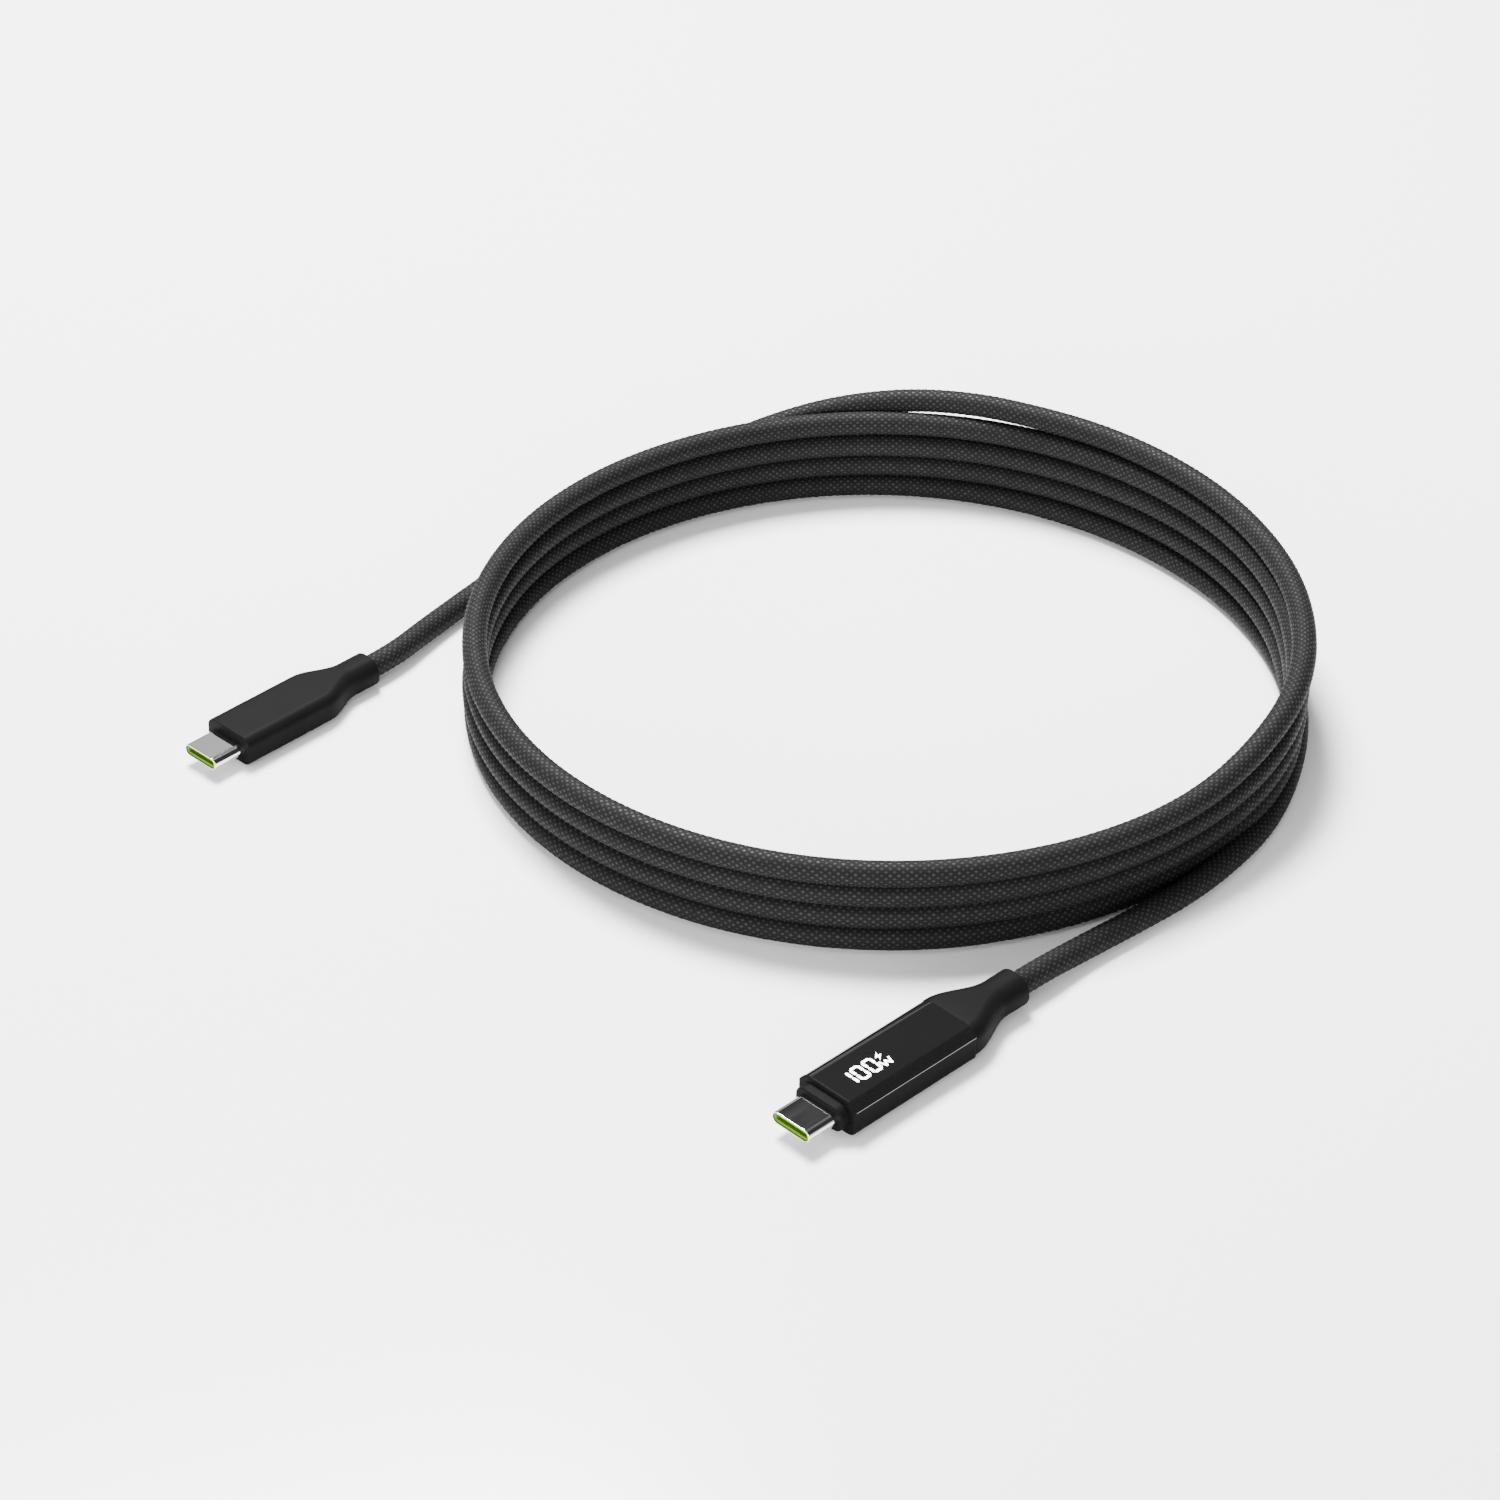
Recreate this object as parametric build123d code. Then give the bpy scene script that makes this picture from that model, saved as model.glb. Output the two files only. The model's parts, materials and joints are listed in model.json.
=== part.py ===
from build123d import *
import math
import os

# Charging cable with a plain plug and a power-meter plug, lying coiled on a flat surface.
# Millimetres. Z up, z = 0 is the surface. Both plugs point along -Y, the meter plug on the +X side,
# and the origin is under the middle of the box around the two plugs.
# Plug parts are drawn in plug axes: mouth at y = 0, cable towards +Y, z = 0 on the plug's own axis.

# ---------------------------------------------------------------- cord and coil
CORD_DIAMETER = 4.4
CORD_RADIUS = CORD_DIAMETER / 2
TURN_PITCH = 4.35
TIERS = 4
RING_CENTRE = (-4.1, 73.2)
RING_RADIUS = 72.6
COIL_SLACK = 0.1
COIL_LIFT = 0.1
COIL_CORNER = 2.0

# ---------------------------------------------------------------- what both plugs share
SHELL_WIDTH = 8.25
SHELL_HEIGHT = 2.40
SHELL_WALL = 0.20
SHELL_LENGTH = 9.0
INSULATOR_SET_BACK = 0.25
TONGUE_WIDTH = 6.75
TONGUE_HEIGHT = 0.84
TONGUE_DEPTH = 5.6
CONTACT_PITCH = 0.5
CONTACT_WIDTH = 0.25
CONTACT_THICKNESS = 0.15
CONTACT_START = 0.9
CONTACT_TAIL = 10.3
UPPER_CONTACTS = 12
LOWER_CONTACTS = 10
LATCH_THICKNESS = 0.2
LATCH_HEIGHT = 0.5
LATCH_START = 1.6
LATCH_BRIDGE_START = 6.4
SPRING_LENGTH = 2.0
SPRING_WIDTH = 5.2
SPRING_THICKNESS = 0.12
SPRING_START = 3.0
HOOK_REACH = 0.3
HOOK_LENGTH = 0.6
CARD_WIDTH = 8.2
CARD_THICKNESS = TONGUE_HEIGHT
POWER_WIRE_DIAMETER = 1.0
SIGNAL_WIRE_DIAMETER = 0.6
POWER_WIRE_PLACES = (-0.6, 0.6)
SIGNAL_WIRE_PLACES = (-0.9, 0.0, 0.9)
WIRE_LAP = 1.6
JACKET_BORE = 3.4
FERRULE_OUTER = 5.2
FERRULE_LENGTH = 4.6

# ---------------------------------------------------------------- plain plug
PLAIN_TIP = (-72.2, -27.8)
PLAIN_TURN = 1.8
PLAIN_WIDTH = 11.3
PLAIN_THICKNESS = 5.8
PLAIN_CORNER = 1.9
PLAIN_FRONT = 6.5
PLAIN_SHOULDER = 25.6
PLAIN_BOOT = 34.0
PLAIN_END = 39.3
PLAIN_BOOT_WIDTH = 6.5
PLAIN_BOOT_THICKNESS = 5.8
PLAIN_CARD_END = 17.0
PLAIN_MOULD = (9.9, 4.6, 0.8)
PLAIN_MOULD_START = 7.3
PLAIN_MOULD_END = 20.5
PLAIN_FERRULE = 21.1
CAN_WIDTH = 9.2
CAN_HEIGHT = 3.8
CAN_WALL = 0.2
CAN_START = 9.3
CAN_END = 17.6

# ---------------------------------------------------------------- meter plug
METER_TIP = (72.1, -24.6)
METER_WIDTH = 12.6
METER_THICKNESS = 6.56
METER_CORNER = 1.9
COLLAR_FRONT = 6.1
COLLAR_WIDTH = 10.4
COLLAR_THICKNESS = 4.6
COLLAR_CORNER = 2.0
COLLAR_EDGE = 0.3
METER_FRONT = 7.9
METER_SEAM = 35.4
METER_SHOULDER = 36.2
METER_BOOT = 46.4
METER_END = 51.2
METER_BOOT_WIDTH = 6.7
METER_BOOT_THICKNESS = 6.1
METER_WALL = 0.8
METER_FLOOR = 0.85
FRONT_WALL = 0.4
WINDOW_SPLIT = 1.2
WINDOW_EDGE = 1.6
WINDOW_FLAT = 9.6
WINDOW_THICKNESS = 0.8
METER_CARD_WIDTH = 9.6
METER_CARD_END = 31.0
METER_MOULD_END = 11.2
METER_MOULD_TOP = 1.2
METER_FERRULE = 36.4
POCKET_WIDTH = 10.4
DISPLAY_WIDTH = 8.0
DISPLAY_START = 11.6
DISPLAY_END = 27.4
DISPLAY_LIFT = 0.5
PIN_DIAMETER = 0.4
PIN_ROWS = (-3.4, 3.4)
PIN_PLACES = (12.4, 16.4, 20.4, 24.4)
DIGITS = ("bc", "abcdef", "abcdef")
DIGITS_START = 11.85
DIGITS_MIDDLE = 0.9
DIGIT_ADVANCE = 2.6
DIGIT_WIDTH = 2.15
DIGIT_HEIGHT = 3.6
DIGIT_STROKE = 0.5
DIGIT_THICKNESS = 0.15
DIGIT_GAP = 0.06

BOOT_EDGE = 0.6
NOSE_EDGE = 0.2
BOOT_CORNER_SHARE = 0.46
SHOULDER_SECTIONS = 7


def prism(section, start, end):
    """A flat section drawn in X and Z, run along Y from start to end."""
    plane = Plane(origin=(0, start, 0), x_dir=(1, 0, 0), z_dir=(0, -1, 0))
    return extrude(plane * section, amount=-(end - start))


def block(width, thickness, start, end, x=0.0, z=0.0):
    """A box along Y, centred on x and z."""
    return Pos(x, (start + end) / 2, z) * Box(width, end - start, thickness)


def rod(diameter, start, end, x=0.0, z=0.0):
    """A round bar along Y."""
    return Pos(x, 0, z) * prism(Circle(diameter / 2), start, end)


def rod_up(diameter, x, y, low, high):
    """A round pin standing along Z."""
    return Pos(x, y, (low + high) / 2) * Cylinder(diameter / 2, high - low)


def fused(shapes):
    """One shape out of several that overlap or share a face."""
    whole = shapes[0]
    for shape in shapes[1:]:
        whole = whole + shape
    return whole


def cut(body, parts):
    """Takes each solid of the parts out of a body."""
    for part in parts:
        for solid in part.solids():
            body = body - solid
    return body


def group(solids):
    """Separate solids that share a node."""
    return Compound(children=list(solids))


def rounded(width, thickness, corner):
    return RectangleRounded(width, thickness, corner)


def obround(width, height):
    return SlotOverall(width, height)


def ease(share):
    """Rises from 0 to 1 with no slope at either end."""
    return share * share * (3 - 2 * share)


def shoulder(wide, slim, start, end):
    """The S-shaped taper between two rounded sections, each (width, thickness, corner)."""
    sections = []
    for index in range(SHOULDER_SECTIONS):
        share = index / (SHOULDER_SECTIONS - 1)
        size = [a + (b - a) * ease(share) for a, b in zip(wide, slim)]
        plane = Plane(
            origin=(0, start + (end - start) * share, 0), x_dir=(1, 0, 0), z_dir=(0, -1, 0)
        )
        sections.append(plane * rounded(*size))
    return loft(sections)


def boot_corner(width, thickness):
    return min(width, thickness) * BOOT_CORNER_SHARE


def boot(width, thickness, start, end):
    """The straight end of the strain relief, with its rear edge rounded."""
    body = prism(rounded(width, thickness, boot_corner(width, thickness)), start, end)
    rear = body.faces().sort_by(Axis.Y)[-1]
    return fillet(rear.edges(), BOOT_EDGE)


# ---------------------------------------------------------------- inside of each plug
def shell():
    tube = prism(obround(SHELL_WIDTH, SHELL_HEIGHT), 0, SHELL_LENGTH)
    bore = prism(obround(SHELL_WIDTH - 2 * SHELL_WALL, SHELL_HEIGHT - 2 * SHELL_WALL), 0, SHELL_LENGTH)
    return tube - bore


def contact_row(count, side):
    """Spring contacts along one face of the tongue slot, their tails on the card."""
    z = side * (TONGUE_HEIGHT + CONTACT_THICKNESS) / 2
    first = -(count - 1) * CONTACT_PITCH / 2
    strips = []
    for index in range(count):
        x = first + index * CONTACT_PITCH
        strips.append(block(CONTACT_WIDTH, CONTACT_THICKNESS, CONTACT_START, CONTACT_TAIL, x, z))
    return group(strips)


def latch_spring():
    """Two side arms with hooks, joined by a bridge at the back of the slot."""
    arm_x = TONGUE_WIDTH / 2 + LATCH_THICKNESS / 2
    pieces = [
        block(TONGUE_WIDTH + 2 * LATCH_THICKNESS, LATCH_THICKNESS, LATCH_BRIDGE_START, SHELL_LENGTH)
    ]
    for side in (-1, 1):
        pieces.append(block(LATCH_THICKNESS, LATCH_HEIGHT, LATCH_START, SHELL_LENGTH, side * arm_x))
        hook_x = side * (TONGUE_WIDTH / 2 - HOOK_REACH / 2 + LATCH_THICKNESS / 2)
        hook_width = HOOK_REACH + LATCH_THICKNESS
        pieces.append(block(hook_width, LATCH_HEIGHT, LATCH_START, LATCH_START + HOOK_LENGTH, hook_x))
    return fused(pieces)


def ground_springs():
    """Thin pads between the insulator and the shell, one above and one below."""
    z = SHELL_HEIGHT / 2 - SHELL_WALL - SPRING_THICKNESS / 2
    end = SPRING_START + SPRING_LENGTH
    return group(
        block(SPRING_WIDTH, SPRING_THICKNESS, SPRING_START, end, 0, side * z) for side in (-1, 1)
    )


def insulator(inside):
    """The coloured moulding that lines the shell, cut away for the metal that it carries."""
    width = SHELL_WIDTH - 2 * SHELL_WALL
    height = SHELL_HEIGHT - 2 * SHELL_WALL
    body = prism(obround(width, height), INSULATOR_SET_BACK, SHELL_LENGTH)
    slot = block(TONGUE_WIDTH, TONGUE_HEIGHT, 0, TONGUE_DEPTH)
    return cut(body - slot, inside)


def chips(places, height, side=1):
    """Square parts on the card, each (x, y, width, length)."""
    z = side * (CARD_THICKNESS + height) / 2
    return group(block(w, height, y - length / 2, y + length / 2, x, z) for x, y, w, length in places)


def power_wires(start, end):
    z = CARD_THICKNESS / 2 + POWER_WIRE_DIAMETER / 2
    return group(rod(POWER_WIRE_DIAMETER, start, end, x, z) for x in POWER_WIRE_PLACES)


def signal_wires(start, end):
    z = -(CARD_THICKNESS / 2 + SIGNAL_WIRE_DIAMETER / 2)
    return group(rod(SIGNAL_WIRE_DIAMETER, start, end, x, z) for x in SIGNAL_WIRE_PLACES)


def cable_end(start, end):
    """The jacket and sleeve inside the boot."""
    return rod(CORD_DIAMETER, start, end) - rod(JACKET_BORE, start, end)


def ferrule(start):
    end = start + FERRULE_LENGTH
    return rod(FERRULE_OUTER, start, end) - rod(CORD_DIAMETER, start, end)


def front_end(card_width, card_end):
    """The mouth of a plug and the card behind it."""
    upper = contact_row(UPPER_CONTACTS, 1)
    lower = contact_row(LOWER_CONTACTS, -1)
    latch = latch_spring()
    springs = ground_springs()
    return {
        "shell": shell(),
        "insulator": insulator([upper, lower, latch, springs]),
        "upper_contacts": upper,
        "lower_contacts": lower,
        "latch_spring": latch,
        "ground_springs": springs,
        "card": block(card_width, CARD_THICKNESS, SHELL_LENGTH, card_end),
    }


def cable_core(card_end, jacket_start, ferrule_start, end):
    """The cord's end inside a plug: wires, jacket and the crimped ferrule."""
    return {
        "power_wires": power_wires(card_end - WIRE_LAP, end),
        "signal_wires": signal_wires(card_end - WIRE_LAP, end),
        "cable_end": cable_end(jacket_start, end),
        "ferrule": ferrule(ferrule_start),
    }


# ---------------------------------------------------------------- plain plug
def plain_plug():
    pieces = front_end(CARD_WIDTH, PLAIN_CARD_END)
    pieces.update(cable_core(PLAIN_CARD_END, PLAIN_MOULD_END, PLAIN_FERRULE, PLAIN_END))
    pieces["id_chip"] = chips([(0, 13.0, 3.0, 3.0)], 0.8)
    capacitor_places = [(-2.8, 12.2, 0.5, 1.0), (-2.8, 14.0, 0.5, 1.0), (2.8, 13.0, 0.5, 1.0)]
    pieces["capacitors"] = chips(capacitor_places, 0.5)

    can_space = block(CAN_WIDTH, CAN_HEIGHT, CAN_START, CAN_END)
    can_inside = block(CAN_WIDTH - 2 * CAN_WALL, CAN_HEIGHT - 2 * CAN_WALL, CAN_START, CAN_END)
    pieces["shield_can"] = can_space - can_inside

    mould_space = prism(rounded(*PLAIN_MOULD), PLAIN_MOULD_START, PLAIN_MOULD_END)
    front_space = prism(obround(SHELL_WIDTH, SHELL_HEIGHT), 0, CAN_START)
    wires = [pieces["power_wires"], pieces["signal_wires"]]
    pieces["inner_mould"] = cut(mould_space - front_space - can_space, wires)

    corner = boot_corner(PLAIN_BOOT_WIDTH, PLAIN_BOOT_THICKNESS)
    wide = (PLAIN_WIDTH, PLAIN_THICKNESS, PLAIN_CORNER)
    slim = (PLAIN_BOOT_WIDTH, PLAIN_BOOT_THICKNESS, corner)
    front = prism(rounded(*wide), PLAIN_FRONT, PLAIN_SHOULDER)
    front = fillet(front.faces().sort_by(Axis.Y)[0].edges(), NOSE_EDGE)
    outside = fused(
        [
            front,
            shoulder(wide, slim, PLAIN_SHOULDER, PLAIN_BOOT),
            boot(PLAIN_BOOT_WIDTH, PLAIN_BOOT_THICKNESS, PLAIN_BOOT, PLAIN_END),
        ]
    )
    spaces = [
        front_space,
        mould_space,
        rod(FERRULE_OUTER, PLAIN_FERRULE, PLAIN_FERRULE + FERRULE_LENGTH),
        rod(CORD_DIAMETER, PLAIN_MOULD_END, PLAIN_END),
    ]
    pieces["body"] = cut(outside, spaces)
    return pieces


# ---------------------------------------------------------------- meter plug
def window_outline(inset):
    """The bevelled roof of the display window, above the split line."""
    side = METER_WIDTH / 2 - inset
    flat = WINDOW_FLAT / 2 - inset / 2
    top = METER_THICKNESS / 2 - inset
    edge = WINDOW_EDGE - inset / 3
    points = [
        (-side, WINDOW_SPLIT),
        (-side, edge),
        (-flat, top),
        (flat, top),
        (side, edge),
        (side, WINDOW_SPLIT),
    ]
    return make_face(Polyline(*points, close=True))


def tray_section():
    """The case's cross-section, up to the window."""
    whole = rounded(METER_WIDTH, METER_THICKNESS, METER_CORNER)
    above = Pos(0, WINDOW_SPLIT + METER_THICKNESS / 2) * Rectangle(METER_WIDTH + 2, METER_THICKNESS)
    return whole - above


def segment_bars():
    """Each segment of a digit by its letter: across, up, width and height, as the digit is read."""
    half_w = (DIGIT_WIDTH - DIGIT_STROKE) / 2
    half_h = (DIGIT_HEIGHT - DIGIT_STROKE) / 2
    upright = half_h - DIGIT_STROKE / 2 - DIGIT_GAP
    level = 2 * half_w - DIGIT_STROKE - 2 * DIGIT_GAP
    return {
        "a": (0, half_h, level, DIGIT_STROKE),
        "b": (half_w, half_h / 2, DIGIT_STROKE, upright),
        "c": (half_w, -half_h / 2, DIGIT_STROKE, upright),
        "d": (0, -half_h, level, DIGIT_STROKE),
        "e": (-half_w, -half_h / 2, DIGIT_STROKE, upright),
        "f": (-half_w, half_h / 2, DIGIT_STROKE, upright),
    }


def display_digits(z):
    """Three lit digits, read from the mouth towards the cable, their tops towards -X."""
    segments = segment_bars()
    middle_z = z + DIGIT_THICKNESS / 2
    bars = []
    for place, letters in enumerate(DIGITS):
        for letter in letters:
            across, up, wide, tall = segments[letter]
            x = DIGITS_MIDDLE - up
            y = DIGITS_START + place * DIGIT_ADVANCE + across
            bars.append(block(tall, DIGIT_THICKNESS, y - wide / 2, y + wide / 2, x, middle_z))
    return group(bars)


def meter_plug():
    pieces = front_end(METER_CARD_WIDTH, METER_CARD_END)
    rear_wall = METER_SEAM - METER_WALL
    pieces.update(cable_core(METER_CARD_END, rear_wall, METER_FERRULE, METER_END))
    pieces["id_chip"] = chips([(-2.6, 16.0, 3.0, 3.0)], 0.6, -1)
    capacitor_places = [(2.6, 14.6 + 1.6 * index, 0.6, 1.0) for index in range(4)]
    pieces["capacitors"] = chips(capacitor_places, 0.5, -1)
    pieces["control_chip"] = chips([(0, 23.0, 4.0, 4.0)], 0.8, -1)
    pieces["shunt_resistor"] = chips([(0, 27.6, 3.2, 1.6)], 0.6, -1)

    collar = prism(rounded(COLLAR_WIDTH, COLLAR_THICKNESS, COLLAR_CORNER), COLLAR_FRONT, METER_FRONT)
    collar = fillet(collar.faces().sort_by(Axis.Y)[0].edges(), COLLAR_EDGE)
    shell_space = prism(obround(SHELL_WIDTH, SHELL_HEIGHT), 0, SHELL_LENGTH)
    pieces["collar"] = collar - shell_space

    tray = prism(tray_section(), METER_FRONT, METER_SEAM)
    pocket_start = METER_FRONT + FRONT_WALL
    nose = prism(window_outline(0), METER_FRONT, pocket_start)
    pocket_low = METER_FLOOR - METER_THICKNESS / 2
    pocket = block(
        POCKET_WIDTH, METER_THICKNESS, pocket_start, rear_wall, 0, pocket_low + METER_THICKNESS / 2
    )
    rear_hole = rod(CORD_DIAMETER, rear_wall, METER_SEAM)
    pieces["housing"] = tray + nose - pocket - shell_space - rear_hole

    window = prism(window_outline(0), pocket_start, METER_SEAM)
    under = prism(window_outline(WINDOW_THICKNESS), pocket_start, rear_wall)
    pieces["window"] = window - under - rear_hole

    module_top = METER_THICKNESS / 2 - WINDOW_THICKNESS - DIGIT_THICKNESS
    module_low = CARD_THICKNESS / 2 + DISPLAY_LIFT
    module_middle = (module_top + module_low) / 2
    pieces["display_module"] = block(
        DISPLAY_WIDTH, module_top - module_low, DISPLAY_START, DISPLAY_END, 0, module_middle
    )
    pieces["display_digits"] = display_digits(module_top)
    pieces["display_pins"] = group(
        rod_up(PIN_DIAMETER, x, y, CARD_THICKNESS / 2, module_low) for x in PIN_ROWS for y in PIN_PLACES
    )

    mould_height = METER_MOULD_TOP - pocket_low
    mould_middle = (METER_MOULD_TOP + pocket_low) / 2
    mould = block(POCKET_WIDTH, mould_height, pocket_start, METER_MOULD_END, 0, mould_middle)
    card_parts = [pieces["card"], pieces["upper_contacts"], pieces["lower_contacts"]]
    pieces["inner_mould"] = cut(mould - shell_space, card_parts)

    corner = boot_corner(METER_BOOT_WIDTH, METER_BOOT_THICKNESS)
    wide = (METER_WIDTH, METER_THICKNESS, METER_CORNER)
    slim = (METER_BOOT_WIDTH, METER_BOOT_THICKNESS, corner)
    outside = fused(
        [
            prism(rounded(*wide), METER_SEAM, METER_SHOULDER),
            shoulder(wide, slim, METER_SHOULDER, METER_BOOT),
            boot(METER_BOOT_WIDTH, METER_BOOT_THICKNESS, METER_BOOT, METER_END),
        ]
    )
    spaces = [
        rod(FERRULE_OUTER, METER_FERRULE, METER_FERRULE + FERRULE_LENGTH),
        rod(CORD_DIAMETER, METER_SEAM, METER_END),
    ]
    pieces["boot"] = cut(outside, spaces)
    return pieces


# ---------------------------------------------------------------- cord
def ring_point(angle, stand_out, height):
    """A point on the coil: angle in degrees round the ring, outwards from its centre line."""
    radius = RING_RADIUS + stand_out
    turn = math.radians(angle)
    return (RING_CENTRE[0] + radius * math.cos(turn), RING_CENTRE[1] + radius * math.sin(turn), height)


def bend_radii(points):
    """The largest arc that each corner's two runs allow."""
    radii = []
    vectors = [Vector(*point) for point in points]
    for before, corner, after in zip(vectors, vectors[1:], vectors[2:]):
        arriving = corner - before
        leaving = after - corner
        half_turn = math.radians(arriving.get_angle(leaving)) / 2
        radii.append(0.45 * min(arriving.length, leaving.length) / math.tan(half_turn))
    return radii


def tube(name, points):
    """The cord as straight runs joined by tangent arcs."""
    radii = bend_radii(points)
    path = FilletPolyline(*points, radius=radii)
    start = Plane(origin=path @ 0, z_dir=path % 0)
    solid = sweep(start * Circle(CORD_RADIUS), path=path)
    expected = math.pi * CORD_RADIUS**2 * path.length
    print(f"{name}: {path.length:.1f} mm long, volume {solid.volume:.1f} of {expected:.1f} expected")
    print("  radii", ", ".join(f"{radius:.0f}" for radius in radii))
    return solid


def ahead(start, end, distance):
    """A point past end, on the straight line from start through it."""
    run = Vector(*end) - Vector(*start)
    return tuple(Vector(*end) + run.normalized() * distance)


def on_axis(tip, thickness, turn, distance):
    """A point on a plug's axis, measured from its mouth."""
    angle = math.radians(turn)
    x = tip[0] - distance * math.sin(angle)
    y = tip[1] + distance * math.cos(angle)
    return (x, y, thickness / 2)


METER_LEAD = [
    on_axis(METER_TIP, METER_THICKNESS, 0, METER_END),
    on_axis(METER_TIP, METER_THICKNESS, 0, METER_END + 6.0),
    (72.0, 42.6, 2.3),
    (72.9, 54.0, 2.2),
    (73.7, 66.0, 2.2),
    (73.0, 77.1, 2.2),
]
FIRST_TURN = [
    METER_LEAD[-1],
    ahead(METER_LEAD[-2], METER_LEAD[-1], 6.0),
    (70.1, 92.5, 2.2),
    (66.0, 101.7, 2.2),
    (60.6, 110.3, 2.2),
    (54.1, 117.9, 2.2),
    (47.6, 123.4, 2.2),
]
LAST_TURN = [
    ring_point(32, 0.9, 19.1),
    ring_point(47, 1.1, 19.2),
    ring_point(62, 0.9, 19.3),
    ring_point(77, 0.8, 19.4),
    ring_point(92, 0.9, 19.5),
    ring_point(103, 1.3, 19.55),
    ring_point(114, 2.0, 19.6),
]
PLAIN_LEAD = [
    LAST_TURN[-1],
    ahead(LAST_TURN[-2], LAST_TURN[-1], 9.5),
    ring_point(131, 4.3, 18.8),
    ring_point(141, 5.2, 16.5),
    ring_point(151, 5.5, 13.3),
    ring_point(161, 5.5, 9.5),
    ring_point(171, 5.5, 5.7),
    ring_point(180, 5.5, 3.0),
    (-82.0, 63.0, 2.2),
    (-81.5, 53.4, 2.2),
    (-79.9, 44.3, 2.2),
    (-78.1, 35.3, 2.25),
    (-76.1, 26.6, 2.5),
    on_axis(PLAIN_TIP, PLAIN_THICKNESS, PLAIN_TURN, PLAIN_END + 6.2),
    on_axis(PLAIN_TIP, PLAIN_THICKNESS, PLAIN_TURN, PLAIN_END),
]


def coil():
    """The outer shape of the stacked turns, with the first turn beside it and the last on top."""
    width = CORD_DIAMETER + 2 * COIL_SLACK
    height = TIERS * TURN_PITCH
    section = Plane.XZ * Pos(RING_RADIUS, COIL_LIFT + height / 2) * rounded(width, height, COIL_CORNER)
    ring = Pos(RING_CENTRE[0], RING_CENTRE[1], 0) * revolve(section, Axis.Z)
    return fused([ring, tube("first turn", FIRST_TURN), tube("last turn", LAST_TURN)])


# ---------------------------------------------------------------- assembly
def place(pieces, name, tip, thickness, turn=0.0):
    """Stands a plug on the surface with its mouth at tip."""
    spot = Pos(tip[0], tip[1], thickness / 2) * Rot(0, 0, turn)
    return {f"{name}_{piece}": spot * shape for piece, shape in pieces.items()}


def print_box(label, shapes):
    box = Compound(children=list(shapes)).bounding_box()
    print(label, "box", [round(v, 3) for v in (*box.min, *box.max)])
    print(label, "middle", [round((low + high) / 2, 3) for low, high in zip(box.min, box.max)])


def main():
    plugs = {}
    plugs.update(place(plain_plug(), "plain", PLAIN_TIP, PLAIN_THICKNESS, PLAIN_TURN))
    plugs.update(place(meter_plug(), "meter", METER_TIP, METER_THICKNESS))
    cord = {
        "coil": coil(),
        "meter_lead": tube("meter lead", METER_LEAD),
        "plain_lead": tube("plain lead", PLAIN_LEAD),
    }
    parts = {**plugs, **cord}
    os.makedirs("parts", exist_ok=True)
    for name, shape in parts.items():
        print(name, len(shape.solids()), "solid(s)", f"{shape.volume:.2f} mm3", "valid", shape.is_valid)
        export_step(shape, f"parts/{name}.step")
    print_box("plugs", plugs.values())
    print_box("all", parts.values())


main()
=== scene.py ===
import json
import math

import bpy
import numpy as np
from mathutils import Matrix, Vector


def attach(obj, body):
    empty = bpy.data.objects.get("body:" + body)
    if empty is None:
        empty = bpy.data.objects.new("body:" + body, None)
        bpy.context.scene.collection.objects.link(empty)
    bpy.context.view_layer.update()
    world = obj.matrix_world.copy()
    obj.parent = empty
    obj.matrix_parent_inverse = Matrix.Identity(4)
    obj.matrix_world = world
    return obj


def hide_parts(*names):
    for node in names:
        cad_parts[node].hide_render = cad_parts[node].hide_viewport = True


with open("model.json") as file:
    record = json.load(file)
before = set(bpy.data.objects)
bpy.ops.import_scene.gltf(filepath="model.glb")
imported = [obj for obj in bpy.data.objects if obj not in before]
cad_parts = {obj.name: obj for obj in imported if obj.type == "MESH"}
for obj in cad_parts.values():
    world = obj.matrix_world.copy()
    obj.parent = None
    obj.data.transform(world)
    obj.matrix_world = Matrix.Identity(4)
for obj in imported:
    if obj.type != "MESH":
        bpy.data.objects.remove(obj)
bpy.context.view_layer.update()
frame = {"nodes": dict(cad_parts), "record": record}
MM = 0.001

# Sizes are in millimetres up to where a piece is made, and in metres from there on.

# ---------------------------------------------------------------- camera
CAMERA_TARGET = Vector((-9.7, 45.9, 0.0)) * MM
CAMERA_DISTANCE = 745 * MM
CAMERA_AZIMUTH = 45.9
CAMERA_ELEVATION = 34.7
CAMERA_LENS = 101.0
SENSOR_WIDTH = 36.0


def direction(azimuth, elevation):
    """The way from the object to a viewer. Azimuth 0 is a viewer at -Y, who looks along +Y."""
    a = math.radians(azimuth)
    e = math.radians(elevation)
    return Vector((math.sin(a) * math.cos(e), -math.cos(a) * math.cos(e), math.sin(e)))


def make_camera():
    data = bpy.data.cameras.new("photo_camera")
    data.lens = CAMERA_LENS
    data.sensor_width = SENSOR_WIDTH
    camera = bpy.data.objects.new("photo_camera", data)
    bpy.context.collection.objects.link(camera)
    towards = direction(CAMERA_AZIMUTH, CAMERA_ELEVATION)
    camera.location = CAMERA_TARGET + towards * CAMERA_DISTANCE
    camera.rotation_euler = (-towards).to_track_quat("-Z", "Y").to_euler()
    bpy.context.scene.camera = camera


make_camera()

# ---------------------------------------------------------------- cord route, in millimetres
CORD_DIAMETER = 4.4
CORD_RADIUS = CORD_DIAMETER / 2
TURN_PITCH = 4.35
RING_CENTRE = (-4.1, 73.2)
RING_RADIUS = 72.6
FULL_TURNS = 4
# Angles round the ring are in degrees, from 0 at +X towards +Y.
TURN_STEP = 10
COIL_START = 13
COIL_END = 103
# A turn is counted from this angle on, and climbs on to the one below between the next two.
TURN_BREAK = -30
CLIMB_START = -4
CLIMB_END = 28

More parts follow.
